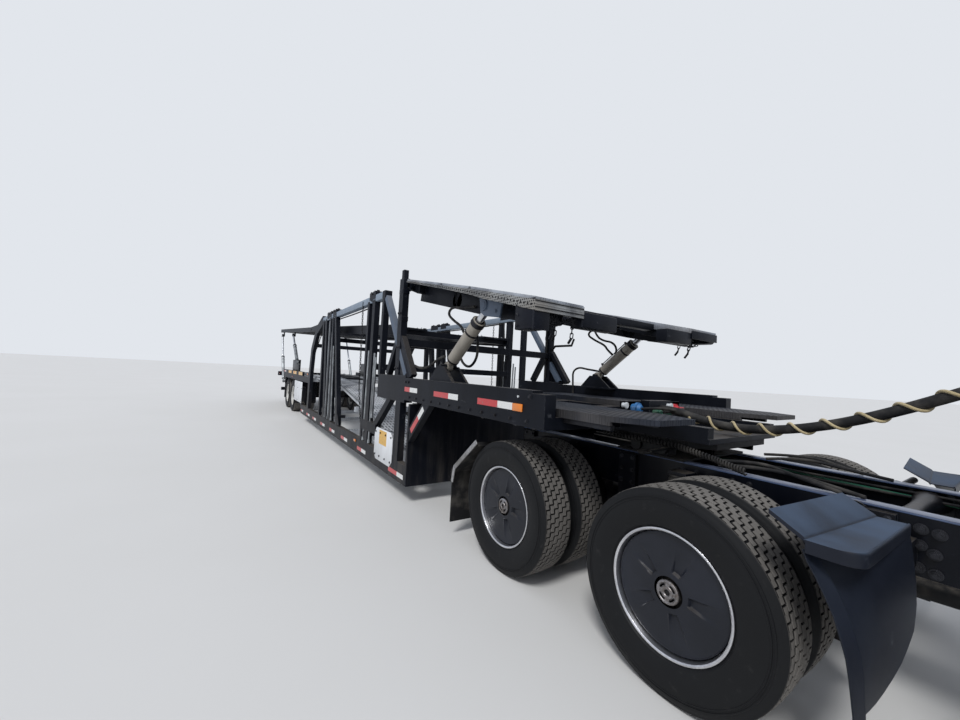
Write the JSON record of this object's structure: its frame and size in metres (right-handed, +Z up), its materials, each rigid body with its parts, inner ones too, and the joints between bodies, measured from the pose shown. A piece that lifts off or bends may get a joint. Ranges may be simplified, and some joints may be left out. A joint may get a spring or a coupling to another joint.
{
  "type": "articulated car transporter truck",
  "caption": "Sleeper tractor with a high-mount open car-hauler semi-trailer, hinged at the kingpin, with lifting ramp and decks.",
  "frame": {"origin": "on the ground under the centre of the whole rig's box", "axes": "+X forward along the rig, +Y to its left, +Z up"},
  "size_m": [22.86, 2.85, 2.8999],
  "materials": {
    "frame_black": "satin chassis paint with dust",
    "trailer_black": "satin black, worn at the edges",
    "cab_paint": "gloss dark navy",
    "runway_steel": "dusty galvanised waffle plate",
    "tyre": "dusty black rubber",
    "drive_wheel": "dark wheel covers, bright lip",
    "front_wheel": "machined aluminium",
    "trailer_wheel": "white steel discs",
    "cast_metal": "dark castings",
    "glass": "tinted glass",
    "seat_fabric": "dark grey fabric",
    "dash_plastic": "grained plastic",
    "fender_plastic": "slate grey moulded plastic",
    "bumper_plastic": "dark moulded plastic",
    "tank_metal": "polished aluminium",
    "grille_black": "gloss black",
    "lamp_glass": "clear lamp lens",
    "barrel_paint": "worn grey paint",
    "rod_steel": "polished rod",
    "line_wrap": "black spiral wrap",
    "line_flap": "black rubber flap"
  },
  "bodies": {
    "tractor": {"tractor_frame": "frame_black", "tractor_axles": "frame_black", "powertrain": "cast_metal", "fifth_wheel": "cast_metal", "cab_shell": "cab_paint", "sleeper_shell": "cab_paint", "cab_glass": "glass", "cab_seats": "seat_fabric", "dashboard": "dash_plastic", "tanks_and_steps": "tank_metal", "front_bumper": "bumper_plastic", "quarter_fenders": "fender_plastic", "tractor_mudflaps": "line_flap", "mirrors": "bumper_plastic", "air_lines": "line_wrap"},
    "hood": {"hood": "cab_paint", "grille": "grille_black", "headlamps": "lamp_glass"},
    "door_left": {"door_left": "cab_paint", "door_glass_left": "glass"},
    "door_right": {"door_right": "cab_paint", "door_glass_right": "glass"},
    "knuckle_left": {"knuckle_left": "cast_metal"},
    "knuckle_right": {"knuckle_right": "cast_metal"},
    "trailer": {"gooseneck": "trailer_black", "front_runways": "runway_steel", "side_trusses": "trailer_black", "lower_deck": "runway_steel", "rear_frame": "trailer_black", "trailer_axles": "frame_black", "landing_legs": "trailer_black"},
    "head_ramp": {"head_ramp": "trailer_black"},
    "mid_deck": {"mid_deck": "trailer_black"},
    "rear_deck": {"rear_deck": "trailer_black"},
    "ramp_barrels": {"ramp_barrels": "barrel_paint"},
    "ramp_rods": {"ramp_rods": "rod_steel"},
    "tail_barrels": {"tail_barrels": "barrel_paint"},
    "tail_rods": {"tail_rods": "rod_steel"},
    "prop_barrels": {"prop_barrels": "barrel_paint"},
    "prop_rods": {"prop_rods": "rod_steel"},
    "wheel_front_left": {"tyre_front_left": "tyre", "wheel_front_left": "front_wheel"},
    "wheel_front_right": {"tyre_front_right": "tyre", "wheel_front_right": "front_wheel"},
    "wheel_drive_1_left": {"tyre_drive_1_left": "tyre", "wheel_drive_1_left": "drive_wheel"},
    "wheel_drive_1_right": {"tyre_drive_1_right": "tyre", "wheel_drive_1_right": "drive_wheel"},
    "wheel_drive_2_left": {"tyre_drive_2_left": "tyre", "wheel_drive_2_left": "drive_wheel"},
    "wheel_drive_2_right": {"tyre_drive_2_right": "tyre", "wheel_drive_2_right": "drive_wheel"},
    "wheel_trailer_1_left": {"tyre_trailer_1_left": "tyre", "wheel_trailer_1_left": "trailer_wheel"},
    "wheel_trailer_1_right": {"tyre_trailer_1_right": "tyre", "wheel_trailer_1_right": "trailer_wheel"},
    "wheel_trailer_2_left": {"tyre_trailer_2_left": "tyre", "wheel_trailer_2_left": "trailer_wheel"},
    "wheel_trailer_2_right": {"tyre_trailer_2_right": "tyre", "wheel_trailer_2_right": "trailer_wheel"}
  },
  "joints": [
    {"name": "hood_tilt", "type": "hinge", "parent": "tractor", "child": "hood", "pos_m": [11.3, 0, 0.865], "axis": [0, 1, 0], "range_deg": [0, 75]},
    {"name": "door_left_swing", "type": "hinge", "parent": "tractor", "child": "door_left", "pos_m": [9.276, 1.18, 1.8], "axis": [0, 0, -1], "range_deg": [0, 70]},
    {"name": "door_right_swing", "type": "hinge", "parent": "tractor", "child": "door_right", "pos_m": [9.276, -1.18, 1.8], "axis": [0, 0, 1], "range_deg": [0, 70]},
    {"name": "steer_left", "type": "hinge", "parent": "tractor", "child": "knuckle_left", "pos_m": [10.18, 0.88, 0.495], "axis": [0, 0, 1], "range_deg": [-36, 36]},
    {"name": "steer_right", "type": "hinge", "parent": "tractor", "child": "knuckle_right", "pos_m": [10.18, -0.88, 0.495], "axis": [0, 0, 1], "range_deg": [-36, 36]},
    {"name": "roll_front_left", "type": "hinge", "parent": "knuckle_left", "child": "wheel_front_left", "pos_m": [10.18, 1.04, 0.495], "axis": [0, 1, 0], "continuous": true},
    {"name": "roll_front_right", "type": "hinge", "parent": "knuckle_right", "child": "wheel_front_right", "pos_m": [10.18, -1.04, 0.495], "axis": [0, 1, 0], "continuous": true},
    {"name": "roll_drive_1_left", "type": "hinge", "parent": "tractor", "child": "wheel_drive_1_left", "pos_m": [4.83, 0.908, 0.495], "axis": [0, 1, 0], "continuous": true},
    {"name": "roll_drive_1_right", "type": "hinge", "parent": "tractor", "child": "wheel_drive_1_right", "pos_m": [4.83, -0.908, 0.495], "axis": [0, 1, 0], "continuous": true},
    {"name": "roll_drive_2_left", "type": "hinge", "parent": "tractor", "child": "wheel_drive_2_left", "pos_m": [3.51, 0.908, 0.495], "axis": [0, 1, 0], "continuous": true},
    {"name": "roll_drive_2_right", "type": "hinge", "parent": "tractor", "child": "wheel_drive_2_right", "pos_m": [3.51, -0.908, 0.495], "axis": [0, 1, 0], "continuous": true},
    {"name": "roll_trailer_1_left", "type": "hinge", "parent": "trailer", "child": "wheel_trailer_1_left", "pos_m": [-7.67, 0.908, 0.495], "axis": [0, 1, 0], "continuous": true},
    {"name": "roll_trailer_1_right", "type": "hinge", "parent": "trailer", "child": "wheel_trailer_1_right", "pos_m": [-7.67, -0.908, 0.495], "axis": [0, 1, 0], "continuous": true},
    {"name": "roll_trailer_2_left", "type": "hinge", "parent": "trailer", "child": "wheel_trailer_2_left", "pos_m": [-8.87, 0.908, 0.495], "axis": [0, 1, 0], "continuous": true},
    {"name": "roll_trailer_2_right", "type": "hinge", "parent": "trailer", "child": "wheel_trailer_2_right", "pos_m": [-8.87, -0.908, 0.495], "axis": [0, 1, 0], "continuous": true},
    {"name": "kingpin_swivel", "type": "hinge", "parent": "tractor", "child": "trailer", "pos_m": [4.23, 0, 1.136], "axis": [0, 0, 1], "range_deg": [-80, 80], "deforming": ["air_lines"]},
    {"name": "head_ramp_lift", "type": "hinge", "parent": "trailer", "child": "head_ramp", "pos_m": [1.45, 0, 2.545], "axis": [0, -1, 0], "range_deg": [-4, 14]},
    {"name": "mid_deck_tilt", "type": "hinge", "parent": "trailer", "child": "mid_deck", "pos_m": [-3.25, 0, 2.33], "axis": [0, -1, 0], "range_deg": [-4, 5]},
    {"name": "rear_deck_lift", "type": "hinge", "parent": "trailer", "child": "rear_deck", "pos_m": [-4.62, 0, 2.4], "axis": [0, 1, 0], "range_deg": [-6, 1.5]},
    {"name": "ramp_barrel_tilt", "type": "hinge", "parent": "trailer", "child": "ramp_barrels", "pos_m": [2.45, 0, 1.56], "axis": [0, -1, 0], "range_deg": [-4.78, 15.21]},
    {"name": "ramp_rod_stroke", "type": "slide", "parent": "ramp_barrels", "child": "ramp_rods", "axis": [0.7831, 0, 0.6219], "range_m": [-0.1078, 0.3522]},
    {"name": "tail_barrel_tilt", "type": "hinge", "parent": "trailer", "child": "tail_barrels", "pos_m": [-9.92, 0, 0.85], "axis": [0, -1, 0], "range_deg": [-3.8, 13.38]},
    {"name": "tail_rod_stroke", "type": "slide", "parent": "tail_barrels", "child": "tail_rods", "axis": [-0.5769, 0, 0.8168], "range_m": [-0.5396, 0.1424]},
    {"name": "prop_barrel_tilt", "type": "hinge", "parent": "trailer", "child": "prop_barrels", "pos_m": [-6.92, 0, 1.56], "axis": [0, -1, 0], "range_deg": [-3.64, 12.77]},
    {"name": "prop_rod_stroke", "type": "slide", "parent": "prop_barrels", "child": "prop_rods", "axis": [-0.8192, 0, 0.5735], "range_m": [-0.2079, 0.0595]}
  ],
  "couplings": [
    {"joint": "steer_right", "follows": "steer_left", "ratio": 1},
    {"joint": "ramp_barrel_tilt", "follows": "head_ramp_lift", "ratio": 1.0438},
    {"joint": "ramp_rod_stroke", "follows": "head_ramp_lift", "m_per_rad": 1.4003},
    {"joint": "tail_barrel_tilt", "follows": "rear_deck_lift", "ratio": -2.1305},
    {"joint": "tail_rod_stroke", "follows": "rear_deck_lift", "m_per_rad": 5.0572},
    {"joint": "prop_barrel_tilt", "follows": "rear_deck_lift", "ratio": -2.029},
    {"joint": "prop_rod_stroke", "follows": "rear_deck_lift", "m_per_rad": 1.8902}
  ]
}
